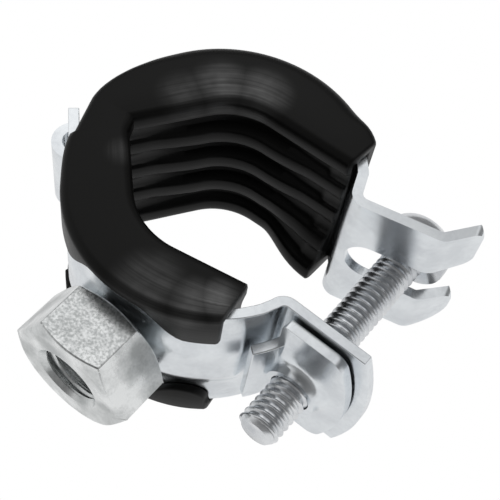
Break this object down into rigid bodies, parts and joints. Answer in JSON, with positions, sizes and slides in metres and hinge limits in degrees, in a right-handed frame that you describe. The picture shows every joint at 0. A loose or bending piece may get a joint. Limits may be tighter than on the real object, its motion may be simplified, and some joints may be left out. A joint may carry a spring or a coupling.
{
  "type": "rubber lined pipe clamp",
  "caption": "Hinged zinc-plated pipe clamp with a ribbed black rubber lining, a welded hexagon hanger nut and a closing screw, standing partly open.",
  "frame": {"origin": "axis of the lower half ring, where the gripped pipe's axis lies, at the middle of the band's width", "axes": "+Z along the pipe, -Y out of the hanger nut, +X from the ring to the ears"},
  "size_m": [0.0481, 0.0449, 0.023],
  "materials": {
    "zinc_sheet": "bright zinc plated sheet",
    "zinc_nut": "zinc plated, grainy on the cut faces",
    "zinc_screw": "bright zinc plated",
    "black_rubber": "satin EPDM with extrusion streaks"
  },
  "bodies": {
    "lower": {"lower_band": "zinc_sheet", "connection_nut": "zinc_nut", "rubber_lining": "black_rubber", "threaded_plate": "zinc_sheet"},
    "screw": {"closing_screw": "zinc_screw"},
    "upper": {"upper_band": "zinc_sheet"}
  },
  "joints": [
    {"name": "screw_travel", "type": "slide", "parent": "lower", "child": "screw", "axis": [0, 1, 0], "range_m": [-0.0083, 0]},
    {"name": "band_hinge", "type": "hinge", "parent": "lower", "child": "upper", "pos_m": [-0.0186, -0.0025, 0], "axis": [0, 0, 1], "range_deg": [-10.6, 0], "deforming": ["rubber_lining"]}
  ],
  "couplings": [
    {"joint": "band_hinge", "follows": "screw_travel", "rad_per_m": 22.28}
  ]
}
